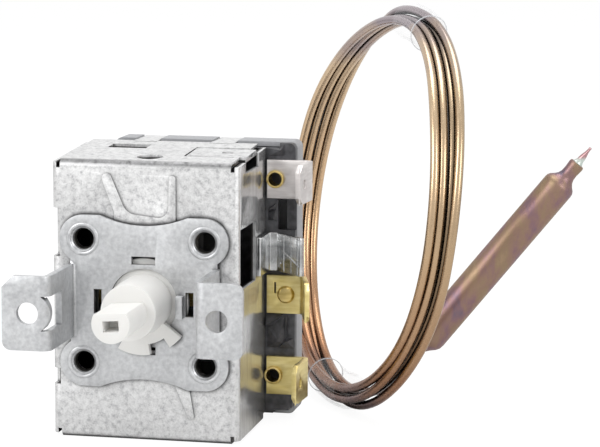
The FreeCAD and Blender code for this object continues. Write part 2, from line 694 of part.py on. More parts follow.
# Lever: a steel strip curled round the pin, wider at its foot, with the calibration screw there.
lever_front = pin_rear - s.lever_sheet / 2
lever_rear = pin_rear + s.lever_sheet / 2
lever_solid = fuse(
    "lever_solid",
    block("lever_arm", (-s.lever_half, s.lever_half), (lever_front, lever_rear),
          (-s.lever_low, s.pin_high - 1)),
    block("lever_foot", (-s.lever_half, s.switch_right + 3), (lever_front, lever_rear),
          (-s.lever_low, -s.switch_low + 4)),
    rod("lever_curl", s.pin_radius + s.lever_sheet, (-s.lever_half - 1, s.lever_half + 1),
        (pin_rear, s.pin_high), along="x"),
)
node("lever", cut(
    "lever_body", lever_solid,
    rod("lever_bore", s.pin_radius + s.running, (-s.lever_half - 2, s.lever_half + 2),
        (pin_rear, s.pin_high), along="x"),
    rod("lever_tapping", 1.0, (lever_front - 1, lever_rear + 1), (s.switch_right, -s.switch_low)),
))
screw_tip = lever_rear + 1.5
node("calibration_screw", cut(
    "calibration", fuse(
        "calibration_solid",
        rod("calibration_shank", 1.0, (lever_front - 0.8, screw_tip), (s.switch_right, -s.switch_low)),
        rod("calibration_head", 1.7, (lever_front - 1.8, lever_front - 0.8),
            (s.switch_right, -s.switch_low)),
    ),
    block("calibration_slot", (s.switch_right - 0.2, s.switch_right + 0.2),
          (lever_front - 2, lever_front - 1.3),
          (-s.switch_low - 2, -s.switch_low + 2)),
))

# Range spring between nut and lever: round wire wound as a helix.
spring_rest = lever_front.number - nut_rear.number - 2 * s.wire_radius.number - 0.04
spring_first = nut_rear.number + s.wire_radius.number + 0.02
spring_turns = spring_rest / s.wire_pitch.number
spring_steps = round(spring_turns * 12)
spring_points = []
for i in range(spring_steps + 1):
    angle = math.radians(30 * i)
    spring_points.append(Vector(
        s.coil_mean.number * math.cos(angle), spring_first + spring_rest * i / spring_steps,
        s.coil_mean.number * math.sin(angle),
    ))
spring_axis = Part.BSplineCurve()
spring_axis.interpolate(spring_points)
spring_section = Part.Wire(Part.makeCircle(
    s.wire_radius.number, spring_points[0], spring_axis.tangent(spring_axis.FirstParameter)[0],
))
spring = doc.addObject("Part::Feature", "spring")
spring.Shape = Part.Wire(spring_axis.toShape()).makePipeShell([spring_section], True, False)
node("range_spring", spring)

# Pressure capsule: two shells seamed at the rim, a centre button, a seat and the tube's ferrule.
capsule_front = lever_rear + s.button_long
capsule_middle = capsule_front + s.capsule_half
capsule_rear = capsule_middle + s.capsule_half
button_front = lever_rear + s.tip_play + s.tip_long
node("diaphragm_button", fuse(
    "button", rod("button_disc", s.button_radius, (button_front, capsule_front), (0, 0)),
    rod("button_tip", s.tip_radius, (lever_rear + s.tip_play, capsule_front), (0, 0)),
))
node("diaphragm_front",
     rod("shell_front", s.capsule_radius - 1.2, (capsule_front, capsule_middle), (0, 0),
         end_radius=s.capsule_radius))
node("diaphragm_rear",
     rod("shell_rear", s.capsule_radius, (capsule_middle, capsule_rear), (0, 0),
         end_radius=s.capsule_radius - 1.2))
seat_rear = capsule_rear + s.seat_sheet
rivet_left, rivet_level = -6.5, 12.0
feet = [
    block(f"seat_foot_{i}", (-9.4, -4.0), (s.box_depth - s.seat_sheet, s.box_depth), (z - 2.6, z + 2.6))
    for i, z in enumerate((-rivet_level, rivet_level))
]
legs = [
    block(f"seat_leg_{i}", (-9.4, -4.0), (capsule_rear, s.box_depth), sorted_pair)
    for i, sorted_pair in enumerate(((-10.0, -9.4), (9.4, 10.0)))
]
seat_solid = fuse(
    "seat_solid", block("seat_plate", (-9.4, 9.4), (capsule_rear, seat_rear), (-10.0, 10.0)), *feet, *legs,
)
node("diaphragm_seat", cut(
    "seat", seat_solid,
    rod("seat_bore", 1.6, (capsule_rear - 1, seat_rear + 1), (0, 0)),
    *[rod(f"seat_hole_{i}", 1.0, (s.box_depth - 2, s.box_depth + 1), (rivet_left, z))
      for i, z in enumerate((-rivet_level, rivet_level))],
))
node("capillary_ferrule", cut(
    "ferrule", rod("ferrule_solid", 1.6, (capsule_rear, s.box_depth - 0.3), (0, 0)),
    rod("ferrule_bore", s.tube_radius, (capsule_rear + 1, s.box_depth), (0, 0)),
))

# Switch base: one black thermoset moulding behind the box, with humps beside the terminals and a
# contact chamber open to the back.
base_face = s.box_depth
chamber_front = base_face + s.base_front
lip_rear = base_face + s.base_lip
base_rear = base_face + s.base_depth
cover_inner = cover_rear - s.wall_sheet
blade_front = chamber_front + s.blade_gap
base_right = s.box_half + s.base_right
cover_right = s.box_half + s.cover_right
upper_eyelet = s.box_half + s.upper_eyelet
middle_rivet = s.box_half + s.middle_rivet
lower_eyelet = s.box_half + s.lower_eyelet
base_solid = fuse(
    "base_solid",
    block("base_block", (-s.base_left, base_right - 1.0), (base_face, base_rear),
          (-s.cover_low + 0.9, s.base_top)),
    block("base_lip", (-s.cover_left, base_right), (base_face, lip_rear), (-18.4, s.base_top)),
    block("base_toe", (-s.cover_left, s.box_half + 1.3), (base_face, lip_rear), (-s.base_low, -18.0)),
    block("base_toe_right", (s.box_half + 0.7, base_right - 0.4), (base_face, lip_rear), (-20.3, -18.0)),
    rod("base_hump_round", 1.1, (base_face, lip_rear), (base_right - 1.1, s.base_top - 0.2)),
    block("base_hump", (s.box_half + 2.3, base_right - 1.1), (base_face, lip_rear),
          (s.base_top - 0.6, s.base_top + 0.9)),
)
lug_slots = []
for i, x in enumerate((-5.0, 8.0)):
    across = (x - s.lug_width / 2 - s.play, x + s.lug_width / 2 + s.play)
    top = (rear_top - s.wall_sheet - s.play, rear_top + s.play + 1)
    lug_slots.append(block(f"base_lug_slot_{i}", across, (base_face - 1, base_rear + 1), top))
notch_right = block("base_notch", (s.box_half + 2, base_right + 1), (base_face - 1, chamber_front + 0.2),
                    (9.4, 14.4))
rivets = (
    ("upper", upper_eyelet, s.upper_level),
    ("middle", middle_rivet, s.middle_level),
    ("lower", lower_eyelet, s.lower_level),
)
shank_radius = s.eyelet_bore + 0.25
rivet_holes = [
    rod(f"base_rivet_hole_{name}", shank_radius if name != "middle" else 0.75, (base_face - 1, lip_rear), (x, z))
    for name, x, z in rivets
]
clamp_holes = [
    rod(f"base_clamp_hole_{i}", 1.0, (base_face - 1, base_rear + 1), (rivet_left, z))
    for i, z in enumerate((-rivet_level, rivet_level))
]
chamber = block("chamber", (3.0, base_right - 1.6), (chamber_front, base_rear + 1), (-19.0, 20.9))
switch_hole = rod("switch_hole", s.switch_radius + s.running, (base_face - 1, chamber_front + 1),
                  (s.switch_right, -s.switch_low))
tube_hole = rod("base_tube_hole", s.tube_radius + 0.4, (base_face - 1, base_rear + 1), (0, 0))
node("switch_base", cut(
    "base", base_solid, chamber, switch_hole, tube_hole, notch_right, *lug_slots, *rivet_holes, *clamp_holes,
))

# Rear cover: a shallow grey tray over the base.
tray = round_edges(
    "tray_round",
    block("tray_outer", (-s.cover_left, cover_right), (lip_rear + s.play, cover_rear),
          (-s.cover_low, s.cover_top)),
    s.box_fold, lambda c, e: abs(e.BoundBox.YLength - (cover_rear - lip_rear - s.play).number) < 0.01,
)
tray_inner = block(
    "tray_inner", (-s.cover_left + s.wall_sheet, cover_right - s.wall_sheet), (lip_rear, cover_inner),
    (-s.cover_low + s.wall_sheet, s.cover_top - s.wall_sheet),
)
cover_slots = []
for i, x in enumerate((-5.0, 8.0)):
    across = (x - s.lug_width / 2 - s.play, x + s.lug_width / 2 + s.play)
    top = (rear_top - s.wall_sheet - s.play, rear_top + 1)
    cover_slots.append(block(f"cover_lug_slot_{i}", across, (lip_rear, cover_rear + 1), top))
node("rear_cover", cut(
    "cover", tray, tray_inner, *cover_slots,
    rod("cover_tube_hole", s.tube_radius + 0.4, (lip_rear, cover_rear + 1), (0, 0)),
    *[rod(f"cover_clamp_hole_{i}", 1.0, (lip_rear, cover_rear + 1), (rivet_left, z))
      for i, z in enumerate((-rivet_level, rivet_level))],
))
for i, z in enumerate((-rivet_level, rivet_level)):
    node(f"base_rivet_{i + 1}", fuse(
        f"clamp_rivet_{i}",
        rod(f"clamp_shank_{i}", 1.0, (s.box_depth - s.seat_sheet - 0.6, cover_rear), (rivet_left, z)),
        rod(f"clamp_head_{i}", 1.9, (cover_rear, cover_rear + 0.9), (rivet_left, z), end_radius=1.3),
        rod(f"clamp_tail_{i}", 1.5, (s.box_depth - s.seat_sheet - 0.8, s.box_depth - s.seat_sheet),
            (rivet_left, z)),
    ))

# Terminals: flat strips on the face of the base, folded forward into blades.
strip_middle = base_face - s.terminal_sheet / 2
terminal_start = s.box_half + 0.35
blade_tip = base_face - s.terminal_sheet - s.blade_long + 0.4
for name, corner, tip, hole, level in (
    ("upper", s.box_half + s.upper_corner, s.box_half + s.upper_tip, (upper_eyelet, shank_radius),
     s.upper_level),
    ("middle", s.box_half + s.middle_corner, s.box_half + s.middle_tip, (middle_rivet, 0.75),
     s.middle_level),
    ("lower", s.box_half + s.lower_corner, s.box_half + s.lower_tip, (lower_eyelet, shank_radius),
     s.lower_level),
):
    route = [(terminal_start, strip_middle), (corner, strip_middle), (tip, blade_tip)]
    folded = strip(f"terminal_{name}_strip", route, s.terminal_sheet, s.bend_inside,
                   level - s.terminal_wide / 2, s.terminal_wide)
    chamfers = []
    for i, side in enumerate((-1, 1)):
        wedge = doc.addObject("Part::Wedge", f"terminal_{name}_chamfer_{i}")
        wedge.Xmin, wedge.Xmax, wedge.X2min, wedge.X2max = -2, 2, -2, 2
        wedge.Ymin, wedge.Ymax = 0, 1.4
        wedge.Zmin, wedge.Zmax, wedge.Z2min, wedge.Z2max = 0, 1.1, 0, 0
        edge = level + s.terminal_wide / 2 * side
        turn = Rotation() if side < 0 else Rotation(Vector(0, 1, 0), 180)
        chamfers.append(at(wedge, tip, blade_tip - 0.01, edge, turn))
    node(f"terminal_{name}", cut(
        f"terminal_{name}_body", folded, *chamfers,
        rod(f"terminal_{name}_hole", hole[1], (base_face - 2, base_face + 1), (hole[0], level)),
        rod(f"terminal_{name}_eye", 0.8, (tip - 3, tip + 3), (blade_tip + 2.6, level), along="x"),
        *([] if name != "middle" else [
            block("terminal_middle_slit", (s.box_half + 1.6, s.box_half + 1.9),
                  (base_face - 2, base_face + 1),
                  (level + 0.2, level + 2.0)),
        ]),
    ))

# Eyelets at the upper and lower terminal and a solid rivet at the middle one.
strip_front = base_face - s.terminal_sheet
link_rear = chamber_front + s.strip_thin
for name, x, z in (rivets[0], rivets[2]):
    node(f"eyelet_{name}", cut(
        f"eyelet_{name}_body",
        fuse(
            f"eyelet_{name}_solid",
            rod(f"eyelet_{name}_shank", shank_radius, (strip_front - 0.3, link_rear + 0.3), (x, z)),
            rod(f"eyelet_{name}_roll", s.eyelet_radius, (strip_front - 0.35, strip_front), (x, z)),
            rod(f"eyelet_{name}_tail", s.eyelet_radius, (link_rear, link_rear + 0.35), (x, z)),
        ),
        rod(f"eyelet_{name}_bore", s.eyelet_bore, (strip_front - 1, link_rear + 1), (x, z)),
    ))
node("rivet_middle", fuse(
    "rivet_middle_body",
    rod("rivet_shank", 0.75, (strip_front - 0.3, link_rear + 0.25), (middle_rivet, s.middle_level)),
    rod("rivet_head", 1.15, (strip_front - 0.6, strip_front), (middle_rivet, s.middle_level),
        end_radius=1.5),
))

# Earth tab: a bright strip on the right wall, folded outwards behind the window.
earth_middle = s.box_half + s.terminal_sheet / 2
earth_route = [
    (earth_middle, s.window_rear + 0.4), (earth_middle, base_face - 0.55),
    (earth_middle + 1.9, base_face - 0.55), (earth_middle + 6.9, base_face - 6.0),
]
earth_low = s.earth_level - s.terminal_wide / 2
node("earth_tab",
     strip("earth", earth_route, s.terminal_sheet, Size(0.2, "0.2"), earth_low, s.terminal_wide))

# Contact system in the chamber: a mount for the spring blade, the blade with its silver contact,
# the closed contact behind it, the open contact in front, and the pin that moves the blade.
blade_half = 2.2
blade_left, blade_right = s.switch_right - blade_half, s.switch_right + blade_half
node("blade_mount", cut(
    "mount", fuse(
        "mount_solid",
        block("mount_strip", (blade_left, upper_eyelet + 1.4), (chamber_front, link_rear), (15.6, 19.6)),
        block("mount_foot", (blade_left, blade_right), (chamber_front, blade_front + s.blade_thin),
              (s.blade_root + 0.05, 17.0)),
    ),
    rod("mount_hole", shank_radius, (chamber_front - 1, link_rear + 1), (upper_eyelet, s.upper_level)),
))
node("contact_blade", cut(
    "blade", block("blade_strip", (blade_left, blade_right), (blade_front, blade_front + s.blade_thin),
                   (-18.0, s.blade_root)),
    rod("blade_hole", 0.6, (blade_front - 1, blade_front + 1), (s.switch_right, s.contact_level)),
))
contact_rear = blade_front + s.blade_thin + 0.6
node("moving_contact", fuse(
    "moving_contact_body",
    rod("moving_front", s.contact_radius, (blade_front - 0.6, blade_front),
        (s.switch_right, s.contact_level)),
    rod("moving_neck", 0.6, (blade_front - 0.6, contact_rear), (s.switch_right, s.contact_level)),
    rod("moving_rear", s.contact_radius, (blade_front + s.blade_thin, contact_rear),
        (s.switch_right, s.contact_level)),
))
closed_front = contact_rear + 0.7
node("contact_closed", cut(
    "closed", fuse(
        "closed_solid",
        block("closed_foot", (13.0, s.box_half + 2.9), (chamber_front, link_rear), (-18.4, -13.2)),
        block("closed_riser", (12.6, 13.0), (chamber_front, closed_front + s.strip_thin), (-18.4, -13.2)),
        block("closed_arm", (blade_left, 13.0), (closed_front, closed_front + s.strip_thin),
              (-18.4, -13.2)),
        rod("closed_contact", s.contact_radius, (contact_rear, closed_front),
            (s.switch_right, s.contact_level)),
    ),
    rod("closed_hole", shank_radius, (chamber_front - 1, link_rear + 1), (lower_eyelet, s.lower_level)),
))
node("contact_open", cut(
    "open", fuse(
        "open_solid",
        block("open_link", (11.0, middle_rivet - 0.3), (chamber_front, link_rear), (-3.4, 1.0)),
        block("open_leg", (10.0, 12.0), (chamber_front, link_rear), (-18.4, 1.0)),
        block("open_arm", (blade_left, 12.0), (chamber_front, link_rear), (-18.4, -14.4)),
        rod("open_contact", s.contact_radius, (chamber_front, link_rear + 0.1),
            (s.switch_right, s.contact_level)),
    ),
    rod("open_hole", 0.75, (chamber_front - 1, link_rear + 1), (middle_rivet, s.middle_level)),
))
pin_front = screw_tip + s.tip_play
pin_end = blade_front - s.tip_play
pin_place = (s.switch_right, -s.switch_low)
node("switch_button", fuse(
    "switch_pin", rod("pin_body", s.switch_radius, (pin_front + s.tip_long, pin_end - s.tip_long),
                      pin_place),
    rod("pin_tips", s.tip_radius, (pin_front, pin_end), pin_place),
))

# Capillary: a short lead behind the box, the coil as one closed solid, a tail and the bulb.
lean = math.radians(s.coil_lean.number)
yaw = math.radians(s.coil_yaw.number)
coil_normal = Vector(math.cos(lean) * math.cos(yaw), math.cos(lean) * math.sin(yaw), -math.sin(lean))
coil_level = s.coil_radius * cosine(s.coil_lean) + s.coil_section + s.band_thick - s.box_bottom
coil_middle = Vector(s.coil_right.number, s.coil_rear.number, coil_level.number)
coil_side = Vector(math.sin(yaw), -math.cos(yaw), 0)
coil_up = coil_side.cross(coil_normal)


def on_coil(degrees, offset=0.0):
    """A point of the coil's mean circle, from its right-hand side upwards, set off along its axis."""
    angle = math.radians(degrees)
    spoke = coil_side * math.cos(angle) + coil_up * math.sin(angle)
    return coil_middle + spoke * s.coil_radius.number + coil_normal * offset


def tube(name, points, radius):
    """A round tube along straight runs and tangent arcs; prints the arc radii and its volume."""
    runs = [(points[i + 1] - points[i]).Length for i in range(len(points) - 1)]
    radii = [0.0]
    for i in range(1, len(points) - 1):
        turn = (points[i] - points[i - 1]).getAngle(points[i + 1] - points[i])
        radii.append(0.45 * min(runs[i - 1], runs[i]) / math.tan(turn / 2))
    radii.append(0.0)
    path = Part.Wire([curve.toShape() for curve in rounded(points, radii)])
    section = Part.Wire(Part.makeCircle(radius, points[0], points[1] - points[0]))
    solid = path.makePipeShell([section], True, True)
    print(name, "length", round(path.Length, 1), "radii", [round(r, 1) for r in radii[1:-1]],
          "volume ratio", round(solid.Volume / (math.pi * radius ** 2 * path.Length), 4))
    obj = doc.addObject("Part::Feature", name + "_tube")
    obj.Shape = solid
    return obj


tube_start = s.box_depth.number - 1.2
lead_route = [
    Vector(0, tube_start, 0), Vector(0, 33, 0), Vector(-1.0, 43.5, -0.6), Vector(0.2, 52.3, -1.4),
    Vector(4.4, 59.2, -4.2), Vector(11.8, 58.8, -10.2), Vector(15.3, 50.9, -14.3), on_coil(250),
]
node("capillary_lead", tube("capillary_lead", lead_route, s.tube_radius.number))
torus = doc.addObject("Part::Torus", "coil_ring")
bind(torus, Radius1=s.coil_radius, Radius2=s.coil_section)
at(torus, s.coil_right, s.coil_rear, coil_level, Rotation(Vector(0, 0, 1), coil_normal))
node("capillary_coil", torus)
bulb_base = Vector(40.8, 22.0, -9.6)
bulb_heading = Vector(22.15, 2.0, 27.5)
tail_route = [on_coil(285, 2.0), Vector(35.2, 24.2, -17.0), Vector(38.4, 21.9, -12.9), bulb_base]
node("capillary_tail", tube("capillary_tail", tail_route, s.tube_radius.number))
bulb_turn = Rotation(Vector(0, 0, 1), bulb_heading)
bulb_end = s.bulb_length + s.neck_long
bulb = node("sensor_bulb", turned("bulb", [
    (0, 0), (s.tube_radius + 0.35, 0), (s.bulb_radius, 2.2), (s.bulb_radius, s.bulb_length),
    (s.neck_tip, s.bulb_length + 1.3), (s.neck_tip, bulb_end), (0, bulb_end),
]))
bulb.Placement = Placement(bulb_base, bulb_turn)
fill_tail = node("fill_tail", turned("fill", [
    (0, 0), (s.neck_tip * 0.85, 0), (s.neck_tip * 0.7, s.tail_long * 0.45), (s.neck_tip * 0.45,
            s.tail_long), (0, s.tail_long),
]))
fill_tail.Placement = Placement(bulb_base + bulb_turn.multVec(Vector(0, 0, bulb_end.number)), bulb_turn)

# Two clear film bands round the bundle.
def ring_piece(name, section, first, sweep):
    """A stretch of the coil's ring, running back from an angle on its mean circle."""
    obj = doc.addObject("Part::Torus", name)
    bind(obj, Radius1=s.coil_radius, Radius2=section)
    obj.Angle3 = sweep
    spoke = on_coil(first) - coil_middle
    turn = Rotation(spoke, coil_normal.cross(spoke), coil_normal, "ZXY")
    return at(obj, s.coil_right, s.coil_rear, coil_level, turn)


for name, first, sweep in (("band_upper", 88.0, 16.0), ("band_lower", 277.0, 21.0)):
    node(name, cut(
        f"{name}_film",
        ring_piece(f"{name}_outside", s.coil_section + s.band_thick, first, sweep),
        ring_piece(f"{name}_inside", s.coil_section, first, 360.0),
    ))

doc.recompute()
for obj in doc.Objects:
    if any(word in obj.State for word in ("Invalid", "Error")):
        raise RuntimeError(f"{obj.Label} failed: {obj.State}")
os.makedirs("parts", exist_ok=True)
for obj in nodes:
    if obj.Shape.isNull() or not obj.Shape.isValid():
        raise RuntimeError(f"{obj.Label} has no valid shape")
    obj.Shape.exportStep(f"parts/{obj.Label}.step")
print(len(nodes), "sub-parts written")
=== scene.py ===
"""Built-in capillary thermostat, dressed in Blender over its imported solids."""
import math

import bmesh
import bpy
from mathutils import Matrix, Vector


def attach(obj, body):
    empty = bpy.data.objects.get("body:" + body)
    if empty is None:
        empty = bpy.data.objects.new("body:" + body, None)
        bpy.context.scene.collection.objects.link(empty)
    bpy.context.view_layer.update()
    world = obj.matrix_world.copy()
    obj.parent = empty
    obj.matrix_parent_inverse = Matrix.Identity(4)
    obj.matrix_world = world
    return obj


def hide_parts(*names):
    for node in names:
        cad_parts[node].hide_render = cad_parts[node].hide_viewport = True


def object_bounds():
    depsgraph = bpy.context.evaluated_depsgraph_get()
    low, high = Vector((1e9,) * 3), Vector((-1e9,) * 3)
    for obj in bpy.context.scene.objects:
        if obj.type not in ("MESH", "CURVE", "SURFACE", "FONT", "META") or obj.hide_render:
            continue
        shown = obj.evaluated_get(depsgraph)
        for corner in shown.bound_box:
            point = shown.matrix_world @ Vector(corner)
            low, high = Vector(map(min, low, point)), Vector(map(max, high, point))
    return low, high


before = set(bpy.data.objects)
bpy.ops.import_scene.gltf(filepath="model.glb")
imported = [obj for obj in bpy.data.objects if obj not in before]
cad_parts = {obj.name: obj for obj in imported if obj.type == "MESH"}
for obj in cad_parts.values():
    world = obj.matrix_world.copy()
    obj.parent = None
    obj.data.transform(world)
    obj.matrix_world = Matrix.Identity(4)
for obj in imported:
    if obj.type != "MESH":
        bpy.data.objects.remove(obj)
solid_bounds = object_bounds()

# Camera: a long lens on a stand to the right of the spindle and a little above it.
# It looks down at the box by eight degrees, as in the photograph.
MM = 0.001
camera_data = bpy.data.cameras.new("camera")
camera_data.lens = 150.0
camera_data.sensor_width = 36.0
camera_data.clip_start = 0.01
camera = bpy.data.objects.new("camera", camera_data)
bpy.context.scene.collection.objects.link(camera)
sight_right = Vector((0.979, 0.2039, 0.0051)).normalized()
sight_ahead = Vector((-0.201, 0.9687, -0.1454)).normalized()
sight_up = sight_right.cross(sight_ahead).normalized()
camera.matrix_world = Matrix.Translation(Vector((103.14, -375.65, 69.98)) * MM) @ Matrix((
    sight_right, sight_up, -sight_ahead)).transposed().to_4x4()
bpy.context.scene.camera = camera
bpy.context.scene.view_settings.view_transform = "Standard"


# Studio: a white table top under the object and white all round it.
# Two soft lamps stand left and right of the camera, and one hangs above.
def linear(colour):
    """An sRGB hex colour as linear RGBA."""
    parts = [int(colour[i:i + 2], 16) / 255 for i in (0, 2, 4)]
    return (*[c / 12.92 if c <= 0.04045 else ((c + 0.055) / 1.055) ** 2.4 for c in parts], 1.0)


def add(tree, kind, sockets, **settings):
    """Adds one node to a tree, with its settings, and sets or links its sockets."""
    made = tree.nodes.new(kind)
    for name, value in settings.items():
        setattr(made, name, value)
    for name, value in sockets.items():
        if isinstance(value, bpy.types.NodeSocket):
            tree.links.new(value, made.inputs[name])
        else:
            made.inputs[name].default_value = value
    return made


def reckon(tree, kind, first, second=0.0, third=0.0):
    """The outcome of one sum on three values."""
    return add(tree, "ShaderNodeMath", {0: first, 1: second, 2: third}, operation=kind).outputs[0]


def ranged(tree, value, low, high, first=0.0, last=1.0):
    """A value's place between low and high, carried over to between first and last."""
    return add(tree, "ShaderNodeMapRange", {
        "Value": value, "From Min": low, "From Max": high, "To Min": first, "To Max": last}).outputs[0]


def new_finish(name):
    """An empty finish and its tree."""
    finish = bpy.data.materials.new(name)
    finish.use_nodes = True
    finish.node_tree.nodes.clear()
    return finish, finish.node_tree


def dress(piece, finish):
    """Gives a piece or a solid its finish."""
    piece.data.materials.clear()
    piece.data.materials.append(finish)


def piece_of(shape, name, sharp=None):
    """An object of a shape, smooth where its faces meet at less than the sharp angle in degrees."""
    mesh = bpy.data.meshes.new(name)
    shape.to_mesh(mesh)
    shape.free()
    if sharp:
        mesh.shade_smooth()
        mesh.set_sharp_from_angle(angle=math.radians(sharp))
    piece = bpy.data.objects.new(name, mesh)
    bpy.context.scene.collection.objects.link(piece)
    return piece


world = bpy.data.worlds.new("studio")
bpy.context.scene.world = world
world.use_nodes = True
world.node_tree.nodes.clear()
rays = add(world.node_tree, "ShaderNodeLightPath", {}).outputs
seen = reckon(world.node_tree, "MAXIMUM", rays["Is Camera Ray"], rays["Is Transmission Ray"])
seen_or_glossy = reckon(world.node_tree, "MAXIMUM", seen, rays["Is Glossy Ray"])
strength = ranged(world.node_tree, seen_or_glossy, 0.0, 1.0, 0.45)
white_air = add(world.node_tree, "ShaderNodeBackground", {"Color": linear("ffffff"), "Strength": strength})
add(world.node_tree, "ShaderNodeOutputWorld", {"Surface": white_air.outputs[0]})

table_half = 1.5
table_top = bmesh.new()
bmesh.ops.create_grid(table_top, x_segments=1, y_segments=1, size=table_half)
bmesh.ops.translate(table_top, verts=table_top.verts, vec=Vector((0, 0, solid_bounds[0][2])))
table = piece_of(table_top, "table_top")
paper, tree = new_finish("white_paper")
rays = add(tree, "ShaderNodeLightPath", {}).outputs
lit_share = reckon(tree, "MULTIPLY", rays["Is Camera Ray"], 0.86)
matt = add(tree, "ShaderNodeBsdfDiffuse", {"Color": linear("f4f4f4")})
bright = add(tree, "ShaderNodeEmission", {"Color": linear("ffffff"), "Strength": 1.09})
mixed = add(tree, "ShaderNodeMixShader", {0: lit_share, 1: matt.outputs[0], 2: bright.outputs[0]})
add(tree, "ShaderNodeOutputMaterial", {"Surface": mixed.outputs[0]})
dress(table, paper)

for name, place, aim, power, width in (
    ("lamp_left", (-0.42, -0.45, 0.38), (0.0, 0.0, 0.0), 2.3, 0.35),
    ("lamp_right", (0.55, -0.30, 0.30), (0.02, 0.01, 0.0), 1.2, 0.30),
    ("lamp_above", (0.05, 0.10, 0.60), (0.02, 0.02, 0.0), 1.7, 0.40),
):
    lamp_data = bpy.data.lights.new(name, "AREA")
    lamp_data.energy = power
    lamp_data.size = width
    lamp = bpy.data.objects.new(name, lamp_data)
    heading = Vector(aim) - Vector(place)
    lamp.matrix_world = Matrix.Translation(place) @ heading.to_track_quat("-Z", "Y").to_matrix().to_4x4()
    bpy.context.scene.collection.objects.link(lamp)

# Capillary: a drawn copper tube of 1.5 mm, annealed until its skin has darkened, and brazed at both ends.
# It leaves the back of the box, turns round four times and ends in the bulb; its colour is darker towards
# the bottom and greyish mauve at the top.
capillary_thick = 1.5
coil_lean = math.radians(10.5)
coil_yaw = math.radians(33.0)
coil_axis = Vector((math.cos(coil_lean) * math.cos(coil_yaw), math.cos(coil_lean) * math.sin(coil_yaw),
                    -math.sin(coil_lean)))
coil_side = Vector((math.sin(coil_yaw), -math.cos(coil_yaw), 0))
coil_up = coil_side.cross(coil_axis)
coil_middle = Vector((30.33, 36.6, 11.56))
coil_radius = 32.3025
# The angle turned through, and the tube's place in the bundle there: outwards, and along the axis.
coil_places = (
    (250, -0.9, -2.0), (285, -0.4, -1.6), (330, -0.2, -1.9), (360, -0.2, -4.0), (390, 0.0, -4.5),
    (415, -0.2, -3.0), (432, -0.1, -1.9), (450, -0.1, -1.5), (465, -0.1, -1.6), (510, 0.0, -2.7),
    (540, 0.3, -1.8), (585, 1.4, -1.0), (610, 1.4, -1.2), (645, 1.4, -1.1), (690, 0.2, -0.7),
    (720, 0.0, -2.6), (750, 0.0, -3.0), (775, 0.0, -1.6), (792, 0.2, -0.4), (810, 0.5, 0.1),
    (825, 0.4, -0.1), (870, 0.1, -1.2), (900, 0.1, -0.3), (945, 0.4, 0.3), (970, 0.4, 0.2),
    (1005, 0.6, 0.1), (1050, 0.0, 0.6), (1080, 0.0, -1.0), (1110, 0.0, -1.4), (1135, 0.1, -0.2),
    (1152, 0.3, 1.2), (1170, 0.4, 1.7), (1185, 0.2, 1.5), (1230, 0.1, 0.3), (1260, 0.0, 1.3),
    (1305, 0.1, 1.6), (1330, 1.5, 1.7), (1365, 2.3, 0.7), (1410, 1.7, 0.7), (1440, 1.5, -0.7),
    (1470, 1.5, -0.9), (1495, 1.6, 0.5), (1512, 1.8, 1.0), (1530, 2.1, -0.3), (1545, 2.0, 0.6),
    (1565, 1.0, 2.0), (1590, 0.0, 1.8), (1620, -0.1, 2.7), (1665, -0.1, 2.8), (1690, -0.3, 2.0),
    (1725, -0.5, 0.9),
)


def coil_spoke(degrees):
    """The direction from the coil's centre out to an angle round it."""
    angle = math.radians(degrees)
    return coil_side * math.cos(angle) + coil_up * math.sin(angle)


def coil_point(degrees):
    """A control point of the wound capillary, eased between its places in the bundle."""
    for first, second in zip(coil_places, coil_places[1:]):
        if degrees <= second[0]:
            share = (degrees - first[0]) / (second[0] - first[0])
            share = share * share * (3 - 2 * share)
            outward = first[1] + (second[1] - first[1]) * share
            along = first[2] + (second[2] - first[2]) * share
            break
    return coil_middle + coil_spoke(degrees) * (coil_radius + outward) + coil_axis * along


capillary_route = [
    Vector((0, 19, 0)), Vector((0, 33, 0)), Vector((-1.0, 43.5, -0.6)), Vector((0.2, 52.3, -1.4)),
    Vector((4.4, 59.2, -4.2)), Vector((11.8, 58.8, -10.2)), Vector((15.3, 50.9, -14.3)),
]
coil_start = coil_places[0][0]
coil_end = coil_places[-1][0]
coil_steps = 62
for step in range(coil_steps + 1):
    capillary_route.append(coil_point(coil_start + (coil_end - coil_start) * step / coil_steps))
capillary_route += [Vector((35.2, 24.2, -17.0)), Vector((38.4, 21.9, -12.9)), Vector((40.8, 22.0, -9.6))]
capillary_line = bpy.data.curves.new("capillary", "CURVE")
capillary_line.dimensions = "3D"
capillary_line.bevel_depth = capillary_thick / 2 * MM
capillary_line.bevel_resolution = 5
capillary_line.resolution_u = 8
capillary_line.use_fill_caps = True
spline = capillary_line.splines.new("NURBS")
spline.points.add(len(capillary_route) - 1)
for point, place in zip(spline.points, capillary_route):
    point.co = (*(place * MM), 1.0)
spline.order_u = 3
spline.use_endpoint_u = True
capillary = bpy.data.objects.new("capillary", capillary_line)
bpy.context.scene.collection.objects.link(capillary)


def grain(tree, scale, detail, rough=0.5, **mapping):
    """Noise on the object's own coordinates, which may be turned or stretched first."""
    place = add(tree, "ShaderNodeTexCoord", {}).outputs["Object"]
    if mapping:
        place = add(tree, "ShaderNodeMapping", {"Vector": place, **mapping}).outputs[0]
    return add(tree, "ShaderNodeTexNoise", {
        "Vector": place, "Scale": scale, "Detail": detail, "Roughness": rough}).outputs["Fac"]


def ramp(tree, level, *stops):
    """The colour of a level between stops, each a position and an sRGB hex colour."""
    made = add(tree, "ShaderNodeValToRGB", {"Fac": level})
    first, *middle, last = stops
    for element, (position, colour) in zip(made.color_ramp.elements, (first, last)):
        element.position = position
        element.color = linear(colour)
    for position, colour in middle:
        made.color_ramp.elements.new(position).color = linear(colour)
    return made.outputs[0]


def blend(tree, share, first, second, kind="MIX"):
    """Two colours brought together by a share."""
    return add(tree, "ShaderNodeMix", {0: share, 6: first, 7: second}, data_type="RGBA",
               blend_type=kind).outputs[2]


